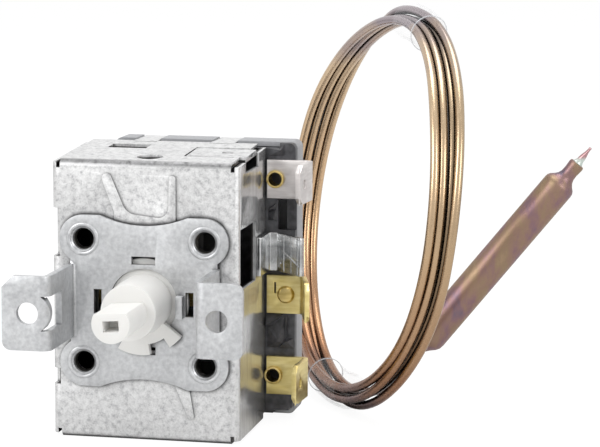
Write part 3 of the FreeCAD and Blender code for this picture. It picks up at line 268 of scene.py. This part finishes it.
def hollow_shaded(tree, colour, reach, low, high, darkest, **settings):
    """A colour darkened by painted shade in hollows that are narrower than the reach."""
    openness = add(tree, "ShaderNodeAmbientOcclusion", {"Distance": reach}, **settings).outputs["AO"]
    return blend(tree, 1.0, colour, ranged(tree, openness, low, high, darkest), "MULTIPLY")


def relief(tree, height, strength, depth):
    """The surface normal of a small relief."""
    return add(tree, "ShaderNodeBump", {
        "Height": height, "Strength": strength, "Distance": depth}).outputs[0]


def coat(tree, sockets):
    """Ends a finish in one principled surface."""
    skin = add(tree, "ShaderNodeBsdfPrincipled", sockets)
    add(tree, "ShaderNodeOutputMaterial", {"Surface": skin.outputs[0]})


annealed_copper, tree = new_finish("annealed_copper")
place = add(tree, "ShaderNodeTexCoord", {}).outputs["Object"]
lies = add(tree, "ShaderNodeSeparateXYZ", {"Vector": place}).outputs
level = reckon(tree, "MULTIPLY_ADD", grain(tree, 60.0, 4.0), 0.35, ranged(tree, lies["Z"], -0.022, 0.056))
tint = ramp(tree, level, (0.16, "6a5656"), (0.30, "a0785c"), (0.55, "cdac88"), (0.90, "d2ba9c"),
            (1.0, "9a8e92"))
# Towards the right-hand side the coil's colour is blended to olive brown.
tint = blend(tree, ranged(tree, lies["X"], 0.038, 0.054, 0.0, 0.7), tint, linear("8a7c64"))
draw_lines = grain(tree, 900.0, 3.0)
# The copper's tone is darkened by painted shade in the gaps between the tube's turns.
coat(tree, {
    "Base Color": hollow_shaded(tree, tint, 0.0016, 0.25, 0.9, 0.05, samples=12, only_local=True),
    "Metallic": 0.95, "Roughness": ranged(tree, draw_lines, 0.0, 1.0, 0.20, 0.34),
    "Normal": relief(tree, draw_lines, 0.12, 0.0001)})
dress(capillary, annealed_copper)
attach(capillary, "box")
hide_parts("capillary_lead", "capillary_coil", "capillary_tail")


# Housing: one box of zinc-plated steel sheet, cut, folded and locked by its lugs over the rear cover.
# The plating is soft grey with a fine cloudy spangle, dark where the steel is bare along cut edges; painted
# shade darkens the inside faces, the hollows and the top fold.
def softened(name, width, body="box"):
    """A copy of a solid with its sharp edges broken, which then stands for it."""
    shape = bmesh.new()
    shape.from_mesh(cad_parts[name].data)
    bmesh.ops.remove_doubles(shape, verts=shape.verts, dist=0.000002)
    bmesh.ops.dissolve_limit(shape, angle_limit=math.radians(0.6), verts=shape.verts, edges=shape.edges)
    sharp = [e for e in shape.edges if len(e.link_faces) == 2 and e.calc_face_angle(0) > math.radians(32)]
    bmesh.ops.bevel(shape, geom=sharp, offset=width * MM, offset_type="OFFSET", segments=2, profile=0.5,
                    affect="EDGES", clamp_overlap=True, material=-1)
    piece = piece_of(shape, name + "_dressed", 38)
    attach(piece, body)
    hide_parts(name)
    return piece


zinc, tree = new_finish("zinc_plated_sheet")
place = add(tree, "ShaderNodeTexCoord", {}).outputs["Object"]
lies = add(tree, "ShaderNodeSeparateXYZ", {"Vector": place}).outputs
facing = add(tree, "ShaderNodeNewGeometry", {}).outputs["Normal"]
faces = add(tree, "ShaderNodeSeparateXYZ", {"Vector": facing}).outputs
# Spangle of about 0.8 mm over pickling marks of 0.25 mm, drawn into streaks on the side walls.
spangle = grain(tree, 1150.0, 5.0, 0.6)
both = reckon(tree, "MULTIPLY_ADD", grain(tree, 4200.0, 2.0), 0.5, spangle)
streaks = reckon(tree, "MULTIPLY_ADD", grain(tree, 1500.0, 4.0, Scale=(1.0, 1.0, 0.05)), 0.9, 0.30)
on_side = ranged(tree, reckon(tree, "ABSOLUTE", faces["X"]), 0.6, 0.9)
pattern = add(tree, "ShaderNodeMix", {0: on_side, 2: both, 3: streaks}).outputs[0]
tone = ramp(tree, pattern, (0.54, "adadaf"), (0.70, "cbcbcb"), (0.92, "dedede"))
# Painted shade along the fold at the top edge: faces turned up and forward, where the sheet was bent over,
# are darkened in an uneven dark line.
fold_in = reckon(tree, "MULTIPLY", reckon(tree, "SUBTRACT", faces["Z"], faces["Y"]), 0.7071)
fold_shade = reckon(tree, "MULTIPLY", ranged(tree, fold_in, 0.80, 0.97, 0.0, 1.3), spangle)
# Painted shade darkens the sheet's tone in its folds, bends and the feet of its beads.
tone = hollow_shaded(tree, blend(tree, fold_shade, tone, linear("3a3a3c")), 0.0007, 0.40, 0.97, 0.12, samples=8)
# How far a point lies under the outer skin tells the cut edges and the inside, which are painted dark: bare
# steel on the cut edges, and painted shade on the inside faces.
half_width, front, rear, bottom, top, top_slope = 0.0153, 0.001, 0.0205, -0.0225, 0.0224, 0.0547
skin_depth = reckon(tree, "SUBTRACT", reckon(tree, "ABSOLUTE", lies["X"]), half_width)
for other in (
    reckon(tree, "SUBTRACT", front, lies["Y"]), reckon(tree, "SUBTRACT", lies["Y"], rear),
    reckon(tree, "SUBTRACT", bottom, lies["Z"]),
    reckon(tree, "SUBTRACT", lies["Z"], reckon(tree, "MULTIPLY_ADD", lies["Y"], top_slope, top)),
):
    skin_depth = reckon(tree, "MAXIMUM", skin_depth, other)
bare_edge_and_inner_shade = ranged(tree, skin_depth, -0.00050, -0.00042, 1.0, 0.0)
gloss = ranged(tree, both, 0.4, 1.0, 0.40, 0.56)
coat(tree, {
    "Base Color": blend(tree, bare_edge_and_inner_shade, tone, linear("3c3b3a")), "Metallic": 0.80,
    "Roughness": reckon(tree, "MULTIPLY_ADD", on_side, -0.30, gloss),
    "Normal": relief(tree, both, 0.22, 0.00007)})
dress(softened("housing", 0.14), zinc)

# Bracket and capsule seat: stamped and folded from the same zinc-plated sheet as the housing.
# The bracket hooks into the front wall, and the seat is clamped by the rivets of the base.
for name in ("bracket", "diaphragm_seat"):
    dress(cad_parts[name], zinc)

# Mounting plate: a second sheet of the same steel, pressed flatter and plated brighter.
# Four necks are drawn through the front wall and tapped M4, and its two ends fold forward into tabs.
bright_zinc, tree = new_finish("zinc_plated_plate")
spangle = grain(tree, 1300.0, 5.0, 0.6)
both = reckon(tree, "MULTIPLY_ADD", grain(tree, 160.0, 2.0), 0.5, spangle)
tone = ramp(tree, both, (0.50, "b0b1b3"), (0.98, "d3d4d5"))
# Painted shade darkens the plate's tone in its hollows.
coat(tree, {
    "Base Color": hollow_shaded(tree, tone, 0.0008, 0.40, 0.97, 0.15, samples=8), "Metallic": 0.85,
    "Roughness": ranged(tree, spangle, 0.0, 1.0, 0.32, 0.50),
    "Normal": relief(tree, spangle, 0.16, 0.00007)})
dress(softened("mounting_plate", 0.12), bright_zinc)


# Mouths of the four necks: drawing the sheet back has left a smooth raised ring round each of them.
# The ring rolls over into a bright funnel, and the bore behind it is dark with painted shade.
def lathed(name, profile, place, steps=64):
    """A turned form: its profile in radius and height, spun round Z and moved into place."""
    shape = bmesh.new()
    verts = [shape.verts.new(Vector((r, 0, h)) * MM) for r, h in profile]
    edges = [shape.edges.new(pair) for pair in zip(verts, verts[1:])]
    bmesh.ops.spin(shape, geom=verts + edges, cent=(0, 0, 0), axis=(0, 0, 1), angle=math.tau, steps=steps,
                   use_merge=True)
    bmesh.ops.remove_doubles(shape, verts=shape.verts, dist=0.000001)
    bmesh.ops.recalc_face_normals(shape, faces=shape.faces)
    bmesh.ops.transform(shape, matrix=place, verts=shape.verts)
    return piece_of(shape, name, 50)


neck_aside = 9.9
neck_places = [(x, z) for x in (-neck_aside, neck_aside) for z in (-neck_aside, neck_aside)]
mouth_profile = (
    (2.66, -0.03), (2.60, 0.05), (2.46, 0.12), (2.28, 0.13), (2.12, 0.06), (2.02, -0.10), (1.94, -0.22),
    (1.80, -0.30), (1.72, -0.42), (1.70, -0.62),
)
for x, z in neck_places:
    mouth_name = f"neck_mouth_{'left' if x < 0 else 'right'}_{'low' if z < 0 else 'high'}"
    mouth_place = Matrix.Translation(Vector((x, 0, z)) * MM) @ Matrix.Rotation(math.radians(90), 4, "X")
    mouth = lathed(mouth_name, mouth_profile, mouth_place)
    dress(mouth, bright_zinc)
    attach(mouth, "box")

# Threads in the four necks: M4, cut into the same steel by a tap after the plate was plated.
# Their steel is coloured dark, painted shade of the deep bore, so that only their crests shine.
thread_pitch, thread_turns, thread_steps = 0.7, 2.2, 64
threads = bmesh.new()
for x, z in neck_places:
    ridge = [threads.verts.new(Vector((x + radius, y, z)) * MM)
             for radius, y in ((1.73, 0.62), (1.47, 0.80), (1.73, 0.98))]
    edges = [threads.edges.new(pair) for pair in zip(ridge, ridge[1:])]
    rise = Vector((0, thread_pitch * thread_turns / thread_steps, 0)) * MM
    bmesh.ops.spin(threads, geom=ridge + edges, cent=Vector((x, 0, z)) * MM, axis=(0, 1, 0),
                   angle=math.tau * thread_turns, dvec=rise, steps=thread_steps, use_merge=False)
bmesh.ops.recalc_face_normals(threads, faces=threads.faces)
thread_piece = piece_of(threads, "tapped_threads", 180)
bore_shaded_steel, tree = new_finish("bore_shaded_steel")
tone = ramp(tree, grain(tree, 3000.0, 2.0), (0.0, "2e2c2a"), (1.0, "6c6a66"))
coat(tree, {"Base Color": tone, "Metallic": 0.9, "Roughness": 0.35})
dress(thread_piece, bore_shaded_steel)
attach(thread_piece, "box")

# Spindle: acetal moulded in one piece with its collar, flat and stop lugs.
# The skin is satin white, a little translucent, and slightly pitted where the mould was textured.
acetal, tree = new_finish("white_acetal")
coat(tree, {
    "Base Color": ramp(tree, grain(tree, 120.0, 2.0), (0.0, "e2e1de"), (1.0, "ecebe8")), "Roughness": 0.46,
    "Normal": relief(tree, grain(tree, 2600.0, 2.0), 0.06, 0.00005), "Subsurface Weight": 0.12,
    "Subsurface Radius": (0.0012, 0.0011, 0.0010), "Subsurface Scale": 1.0})
dress(softened("spindle", 0.3, "spindle"), acetal)

# Switch base: a black thermoset moulding, with ribs between the terminals that keep them apart.
# Its skin is satin, mottled from near black to grey: partly the moulding's own random tone, partly painted
# highlight.
thermoset, tree = new_finish("black_thermoset")
mottle_and_sheen = grain(tree, 700.0, 5.0)
coat(tree, {
    "Base Color": ramp(tree, mottle_and_sheen, (0.35, "2e2e31"), (0.8, "5a5a5e")), "Roughness": 0.42,
    "Normal": relief(tree, mottle_and_sheen, 0.12, 0.00006)})
dress(softened("switch_base", 0.15), thermoset)

# Rear cover: a shallow tray of grey-lacquered steel that closes the contact chamber.
# It is pressed on from behind and held by the housing's folded lugs and two rivets.
lacquer, tree = new_finish("grey_lacquer")
orange_peel = grain(tree, 1800.0, 3.0)
coat(tree, {
    "Base Color": ramp(tree, orange_peel, (0.0, "96979a"), (1.0, "adaeb1")), "Roughness": 0.5,
    "Normal": relief(tree, orange_peel, 0.10, 0.00005)})
dress(softened("rear_cover", 0.2), lacquer)


# Terminals: blanked from rolled brass strip, the upper one tin-plated, and folded forward into blades.
# Rolling leaves fine lines along the strip and the fingers of the fitter a few dull clouds.
def rolled_strip(name, dark, light, rough, scale):
    """A rolled strip metal with fine lines across Z and soft clouds."""
    finish, tree = new_finish(name)
    lines = grain(tree, scale, 4.0, Scale=(1.0, 1.0, 6.0))
    both = reckon(tree, "MULTIPLY", lines, grain(tree, 260.0, 2.0))
    coat(tree, {
        "Base Color": ramp(tree, both, (0.10, dark), (0.42, light)), "Metallic": 1.0,
        "Roughness": ranged(tree, lines, 0.0, 1.0, rough, rough + 0.14),
        "Normal": relief(tree, lines, 0.10, 0.00005)})
    return finish


rolled_brass = rolled_strip("rolled_brass", "ccb872", "ecdda2", 0.34, 300.0)
tinned_brass = rolled_strip("tinned_brass", "c4bebc", "e4e0de", 0.36, 300.0)
for name in ("terminal_middle", "terminal_lower"):
    dress(softened(name, 0.1), rolled_brass)
dress(softened("terminal_upper", 0.1), tinned_brass)

# Earth tab: a nickel-plated strip, riveted to the right wall and bent outwards into a blade.
# Its plating is nearly a mirror, broken by the fine lines of the rolled strip.
nickel = rolled_strip("nickel_plated_strip", "a2a3a4", "dcdddd", 0.16, 260.0)
dress(softened("earth_tab", 0.1), nickel)

# Eyelets and rivet: turned brass, set through the terminals, the base and the contact strips.
# Setting has rolled their rims over and rubbed them bright.
turned_brass = rolled_strip("turned_brass", "b49c58", "e6d092", 0.26, 500.0)
for name in ("eyelet_upper", "eyelet_lower", "rivet_middle"):
    dress(softened(name, 0.12), turned_brass)

# Screw, nut, ferrule and contact strips: small inner pieces of the same brass, turned or stamped.
# The spindle turns the screw, the nut rides on it, and the eyelets hold the strips.
for name in ("adjusting_screw", "spring_nut", "capillary_ferrule", "blade_mount", "contact_closed",
             "contact_open"):
    dress(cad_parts[name], turned_brass)

# Lever, its pin, the calibration screw and the range spring: oiled steel, grey and satin.
# The pin is pressed into the bracket, and the spring stands between nut and lever.
spring_steel = rolled_strip("oiled_spring_steel", "6c6c6e", "9c9c9e", 0.30, 400.0)
for name in ("lever", "lever_pin", "calibration_screw", "range_spring"):
    dress(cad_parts[name], spring_steel)

# Capsule: two shells of thin pressed steel, welded round their rim, with a button on the front one.
# Its steel is paler and smoother than the lever's.
capsule_steel = rolled_strip("pressed_capsule_steel", "85868a", "b9babd", 0.28, 300.0)
for name in ("diaphragm_front", "diaphragm_rear", "diaphragm_button"):
    dress(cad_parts[name], capsule_steel)

# Base rivets: two steel rivets whose domed heads hold cover, base and capsule seat together.
# They are closed from behind, so their heads show on the rear cover.
for name in ("base_rivet_1", "base_rivet_2"):
    dress(softened(name, 0.15), spring_steel)

# Contact blade and moving contact: a strip of spring bronze, welded to its mount at one end.
# The contact is a silver rivet, set through the blade's free end.
bronze = rolled_strip("spring_bronze", "8e5f36", "c89460", 0.26, 400.0)
silver = rolled_strip("contact_silver", "b5b5b2", "e4e4e0", 0.22, 500.0)
dress(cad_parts["contact_blade"], bronze)
dress(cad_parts["moving_contact"], silver)

# Earth tab's marks: its press leaves upright creases, a slanting rib and two pips on the blade.
# They are part of the strip and share its nickel plating.
tab_foot = Vector((17.3052, 19.3796, 0))
tab_along = Vector((0.676, -0.737, 0))
marks = bmesh.new()
for first, second, thick in (
    ((2.3, 2.95), (2.3, 8.85), 0.13), ((4.6, 2.95), (4.6, 8.85), 0.10), ((6.6, 2.95), (6.6, 8.85), 0.13),
    ((1.8, 6.3), (7.2, 4.35), 0.16), ((1.25, 7.75), (1.25, 8.0), 0.28), ((1.3, 4.1), (1.3, 4.35), 0.28),
):
    start, end = [(tab_foot + tab_along * reach + Vector((0, 0, z))) * MM for reach, z in (first, second)]
    turned = (end - start).to_track_quat("Z", "Y").to_matrix().to_4x4()
    bmesh.ops.create_cone(marks, cap_ends=True, segments=12, radius1=thick * MM, radius2=thick * MM,
                          depth=(end - start).length, matrix=Matrix.Translation((start + end) / 2) @ turned)
marks_piece = piece_of(marks, "earth_tab_marks", 50)
dress(marks_piece, nickel)
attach(marks_piece, "box")

# Facets of the switch base: low slanted lands moulded on its face between the terminals, of the same
# black thermoset. They lengthen the path between the strips and keep them from turning about their rivets.
base_front, facet_root = 20.2, 20.25
ribs = bmesh.new()
for outline, tip_x, tip_z, tip_rise in (
    (((15.6, 12.2), (16.0, 13.2), (17.2, 13.9), (17.2, 12.9)), 16.1, 12.9, 1.2),
    (((17.2, 13.9), (17.2, 10.9), (15.6, 10.9), (15.6, 12.2)), 16.7, 11.2, 0.8),
    (((17.0, 14.7), (20.1, 14.7), (20.1, 14.4), (17.0, 14.4)), 18.4, 14.5, 0.7),
    (((15.5, -4.4), (18.6, -4.4), (16.4, -6.4), (15.5, -6.5)), 15.6, -6.3, 1.5),
    (((18.7, -4.4), (19.1, -4.4), (19.1, -8.6), (18.7, -8.5)), 18.9, -6.5, 0.6),
    (((15.5, -6.6), (16.4, -6.5), (18.6, -4.5), (18.6, -9.6), (17.0, -10.3), (15.5, -10.3)),
     17.6, -9.0, 0.9),
    (((18.7, -8.6), (20.1, -8.6), (20.1, -10.4), (17.2, -10.4)), 19.1, -9.0, 0.9),
    (((15.6, 22.8), (17.4, 22.8), (18.4, 23.6), (18.4, 21.5), (15.6, 21.5)), 17.9, 22.6, 0.8),
):
    rim = [ribs.verts.new(Vector((x, facet_root, z)) * MM) for x, z in outline]
    tip = ribs.verts.new(Vector((tip_x, base_front - tip_rise, tip_z)) * MM)
    ribs.faces.new(rim)
    for first, second in zip(rim, rim[1:] + rim[:1]):
        ribs.faces.new((first, second, tip))
bmesh.ops.recalc_face_normals(ribs, faces=ribs.faces)
ribs_piece = piece_of(ribs, "base_ribs")
dress(ribs_piece, thermoset)
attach(ribs_piece, "box")

# Switch button: a glazed steatite pin that carries the lever's push to the blade.
# It is pressed and fired, and slides in a hole of the base.
steatite, tree = new_finish("steatite")
tone = ramp(tree, grain(tree, 1200.0, 3.0), (0.0, "dcd8cc"), (1.0, "efece4"))
coat(tree, {"Base Color": tone, "Roughness": 0.25})
dress(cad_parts["switch_button"], steatite)

# Sensing bulb: a copper tube swaged to the capillary at one end and to a filling neck at the other.
# The brazing flame has left it brown and mauve, and blue-grey along its underside.
bulb_base = Vector((40.8, 22.0, -9.6))
bulb_heading = Vector((22.15, 2.0, 27.5)).normalized()
bulb_place = Matrix.Translation(bulb_base * MM) @ bulb_heading.to_track_quat("Z", "Y").to_matrix().to_4x4()
bulb = lathed("bulb_tube", (
    (0, 0), (0.95, 0.0), (1.15, 0.25), (1.55, 0.8), (2.2, 1.5), (2.55, 2.1), (2.65, 2.9), (2.65, 12),
    (2.65, 24), (2.65, 34.9), (2.58, 35.35), (2.35, 35.75), (1.85, 36.2), (1.45, 36.7), (1.24, 37.3),
    (1.20, 38.1), (1.26, 38.9), (1.30, 39.4), (1.22, 39.7), (0.9, 39.8), (0, 39.8),
), bulb_place)
flamed_copper, tree = new_finish("flame_tinted_copper")
flame = grain(tree, 330.0, 6.0, 0.6, Rotation=(0, math.radians(-39), 0), Scale=(1, 1, 0.35))
coat(tree, {
    "Base Color": ramp(tree, flame, (0.30, "6e6270"), (0.42, "86696c"), (0.52, "8f7465"), (0.62, "907a62"),
                       (0.75, "a58a70")),
    "Metallic": 0.75, "Roughness": ranged(tree, flame, 0.0, 1.0, 0.34, 0.52),
    "Normal": relief(tree, grain(tree, 2400.0, 3.0), 0.12, 0.00006)})
dress(bulb, flamed_copper)
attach(bulb, "box")
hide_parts("sensor_bulb")

# Fill tail: the filling tube, soldered into the neck, pinched flat and cut off askew.
# The solder is pale and dull; the pinched copper beyond it is pink.
tail_radius, tail_root = 0.95, 39.6
tail = bmesh.new()
ring = bmesh.ops.create_circle(tail, cap_ends=True, radius=tail_radius * MM, segments=24)["verts"]
bmesh.ops.translate(tail, verts=ring, vec=Vector((0, 0, tail_root)) * MM)
edges = tail.edges[:]
for wide, thin, rise, aside in (
    (0.80, 0.86, 0.3, 0.0), (0.74, 0.74, 0.45, 0.0), (0.92, 0.92, 0.55, 0.02), (1.05, 0.82, 0.55, 0.06),
    (1.08, 0.66, 0.6, 0.08), (1.03, 0.80, 0.5, 0.02), (1.0, 0.95, 0.45, -0.05),
):
    grown = bmesh.ops.extrude_edge_only(tail, edges=edges)["geom"]
    ring = [g for g in grown if isinstance(g, bmesh.types.BMVert)]
    edges = [g for g in grown if isinstance(g, bmesh.types.BMEdge)]
    middle = sum((v.co for v in ring), Vector()) / len(ring)
    bmesh.ops.scale(tail, verts=ring, vec=(wide, thin, 1.0), space=Matrix.Translation(-middle))
    bmesh.ops.translate(tail, verts=ring, vec=Vector((aside, 0, rise)) * MM)
bmesh.ops.holes_fill(tail, edges=edges, sides=0)
bmesh.ops.recalc_face_normals(tail, faces=tail.faces)
bmesh.ops.transform(tail, matrix=bulb_place, verts=tail.verts)
tail_piece = piece_of(tail, "fill_tube", 180)
solder, tree = new_finish("solder_and_copper")
place = add(tree, "ShaderNodeTexCoord", {}).outputs["Object"]
height = add(tree, "ShaderNodeSeparateXYZ", {"Vector": place}).outputs["Z"]
tone = ramp(tree, ranged(tree, height, 0.0212, 0.0232), (0.35, "c6cfc8"), (0.62, "b08a8c"))
coat(tree, {
    "Base Color": tone, "Metallic": 0.8, "Roughness": 0.33,
    "Normal": relief(tree, grain(tree, 1800.0, 3.0), 0.25, 0.0001)})
dress(tail_piece, solder)
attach(tail_piece, "box")
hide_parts("fill_tail")

# Film bands: clear adhesive film wound once round the bundle, at its top and at its bottom.
# It is so thin that it only shows where it is seen edge on, and the white it shows there is painted
# reflection.
film, tree = new_finish("clear_film")
creases = grain(tree, 500.0, 2.0)
grazing = add(tree, "ShaderNodeLayerWeight", {"Blend": 0.25}).outputs["Facing"]
coat(tree, {
    "Base Color": ramp(tree, creases, (0.0, "e4e8ee"), (1.0, "ffffff")), "Roughness": 0.08,
    "Alpha": ranged(tree, grazing, 0.55, 1.0, 0.05, 0.5), "Normal": relief(tree, creases, 0.3, 0.0002)})
for name in ("band_upper", "band_lower"):
    dress(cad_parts[name], film)

# Rims of the film bands: the cut edge of the same film, one to each band.
# Their pale, half-opaque white is painted highlight: the light caught by the film's cut edge, drawn as a
# white line.
film_edge, tree = new_finish("film_edge")
coat(tree, {"Base Color": linear("dfe3e8"), "Roughness": 0.3, "Alpha": 0.7})
band_ring_radius = 31.6
rim_profile = ((3.06, -0.09), (3.17, -0.09), (3.17, 0.09), (3.06, 0.09))
for degrees in (72.4, 256.4):
    spoke = coil_spoke(degrees)
    run = spoke.cross(coil_axis).normalized()
    rim_place = Matrix.Translation((coil_middle + spoke * band_ring_radius) * MM) @ run.to_track_quat(
        "Z", "Y").to_matrix().to_4x4()
    rim = lathed(f"film_rim_{int(degrees)}", rim_profile, rim_place)
    dress(rim, film_edge)
    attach(rim, "box")
